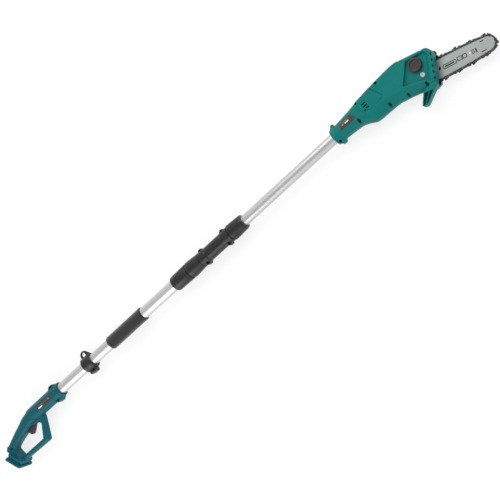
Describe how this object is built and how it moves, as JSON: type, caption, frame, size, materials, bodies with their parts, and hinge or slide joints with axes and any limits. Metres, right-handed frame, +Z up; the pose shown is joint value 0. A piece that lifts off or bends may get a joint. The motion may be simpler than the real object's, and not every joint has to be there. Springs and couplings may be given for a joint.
{
  "type": "telescoping pole saw",
  "caption": "Battery pole saw: a guarded pistol handle, a two-stage telescoping tube pole with foam grip, and a small chainsaw head with guide bar and branch hook.",
  "frame": {"origin": "under the middle of the saw's box, on the floor that it lies on", "axes": "+X along the pole toward the saw head, +Y toward the top side of the tool, +Z up, out of the tool's right-hand side"},
  "size_m": [1.914, 0.1532, 0.068],
  "materials": {
    "head_plastic": "satin moulded, fine spark texture",
    "handle_plastic": "satin moulded, fine spark texture",
    "black_plastic": "satin moulded",
    "brown_plastic": "semi-gloss moulded",
    "badge": "printed film, no text",
    "foam": "closed-cell foam",
    "outer_aluminium": "satin anodised tube",
    "inner_aluminium": "satin anodised tube",
    "bar_steel": "ground and laminated",
    "chain_steel": "oiled gunmetal",
    "screw_steel": "black oxide",
    "bolt_steel": "zinc plated",
    "gear_steel": "machined",
    "motor_steel": "rolled can",
    "brass": "machined",
    "lead_rubber": "matt sheath",
    "tank_plastic": "translucent natural plastic"
  },
  "bodies": {
    "handle": {"handle_shell_right": "handle_plastic", "handle_shell_left": "handle_plastic", "handle_screw_1": "screw_steel", "handle_screw_2": "screw_steel", "handle_screw_3": "screw_steel", "handle_screw_4": "screw_steel", "handle_screw_5": "screw_steel", "handle_screw_6": "screw_steel", "handle_badge": "badge", "trigger_pin": "gear_steel", "trigger_spring": "gear_steel", "switch_body": "black_plastic", "terminal_block": "black_plastic", "outer_tube": "outer_aluminium", "power_lead": "lead_rubber", "foam_grip": "foam", "lower_sleeve": "black_plastic", "coupler_shell_right": "black_plastic", "coupler_shell_left": "black_plastic", "coupler_screw_1": "screw_steel", "coupler_screw_2": "screw_steel", "coupler_screw_3": "screw_steel", "coupler_screw_4": "screw_steel", "lock_collet": "black_plastic"},
    "trigger": {"trigger": "brown_plastic"},
    "lock_off_button": {"lock_off_button": "brown_plastic"},
    "strap_clamp": {"strap_clamp_right": "black_plastic", "strap_clamp_left": "black_plastic", "strap_clamp_screw": "screw_steel"},
    "lock_nut": {"lock_nut": "black_plastic"},
    "saw_head": {"inner_tube": "inner_aluminium", "head_shell_right": "head_plastic", "head_shell_left": "head_plastic", "head_screw_1": "screw_steel", "head_screw_2": "screw_steel", "head_screw_3": "screw_steel", "head_screw_4": "screw_steel", "head_screw_5": "screw_steel", "head_badge": "badge", "motor_can": "motor_steel", "motor_bearing_rear": "gear_steel", "motor_bearing_front": "gear_steel", "oil_tank": "tank_plastic", "oil_pump": "brass", "guide_bar": "bar_steel", "saw_chain": "chain_steel", "bar_bolt": "bolt_steel", "bar_nut": "bolt_steel", "sprocket_cover": "black_plastic"},
    "socket_button": {"socket_button": "black_plastic"},
    "oil_cap": {"oil_cap": "brown_plastic"},
    "rotor": {"rotor": "motor_steel"},
    "sprocket": {"bevel_wheel": "gear_steel", "sprocket_shaft": "gear_steel", "drive_sprocket": "gear_steel"},
    "nose_sprocket": {"nose_sprocket": "gear_steel"}
  },
  "joints": [
    {"name": "pole_extension", "type": "slide", "parent": "handle", "child": "saw_head", "axis": [1, 0, 0], "range_m": [-0.32, 0.3], "deforming": ["power_lead"]},
    {"name": "trigger_pull", "type": "hinge", "parent": "handle", "child": "trigger", "pos_m": [-0.80258, 0.01864, 0.036], "axis": [0, 0, -1], "range_deg": [0, 8], "stiffness_Nm_per_rad": 1, "springref_deg": -5.73},
    {"name": "lock_off_press", "type": "slide", "parent": "handle", "child": "lock_off_button", "axis": [0, 0, 1], "range_m": [0, 0.0015], "stiffness_N_per_m": 400, "springref_m": -0.003},
    {"name": "strap_clamp_slide", "type": "slide", "parent": "handle", "child": "strap_clamp", "axis": [1, 0, 0], "range_m": [-0.1, 0.06]},
    {"name": "lock_nut_turn", "type": "hinge", "parent": "handle", "child": "lock_nut", "pos_m": [0.13592, 0.03214, 0.036], "axis": [1, 0, 0], "range_deg": [0, 60]},
    {"name": "socket_button_press", "type": "slide", "parent": "saw_head", "child": "socket_button", "axis": [0, -1, 0], "range_m": [0, 0.0015], "stiffness_N_per_m": 400, "springref_m": -0.003},
    {"name": "oil_cap_turn", "type": "hinge", "parent": "saw_head", "child": "oil_cap", "pos_m": [0.77672, 0.02454, 0.058], "axis": [0, 0, 1], "range_deg": [0, 90]},
    {"name": "motor_spin", "type": "hinge", "parent": "saw_head", "child": "rotor", "pos_m": [0.64042, 0.00589, 0.0412], "axis": [1, 0, 0], "continuous": true},
    {"name": "sprocket_spin", "type": "hinge", "parent": "saw_head", "child": "sprocket", "pos_m": [0.71991, 0.00589, 0.036], "axis": [0, 0, 1], "continuous": true},
    {"name": "nose_sprocket_spin", "type": "hinge", "parent": "saw_head", "child": "nose_sprocket", "pos_m": [0.93405, -0.0494, 0.028], "axis": [0, 0, 1], "continuous": true}
  ],
  "couplings": [
    {"joint": "sprocket_spin", "follows": "motor_spin", "ratio": 0.33333},
    {"joint": "nose_sprocket_spin", "follows": "motor_spin", "ratio": 0.28571}
  ]
}
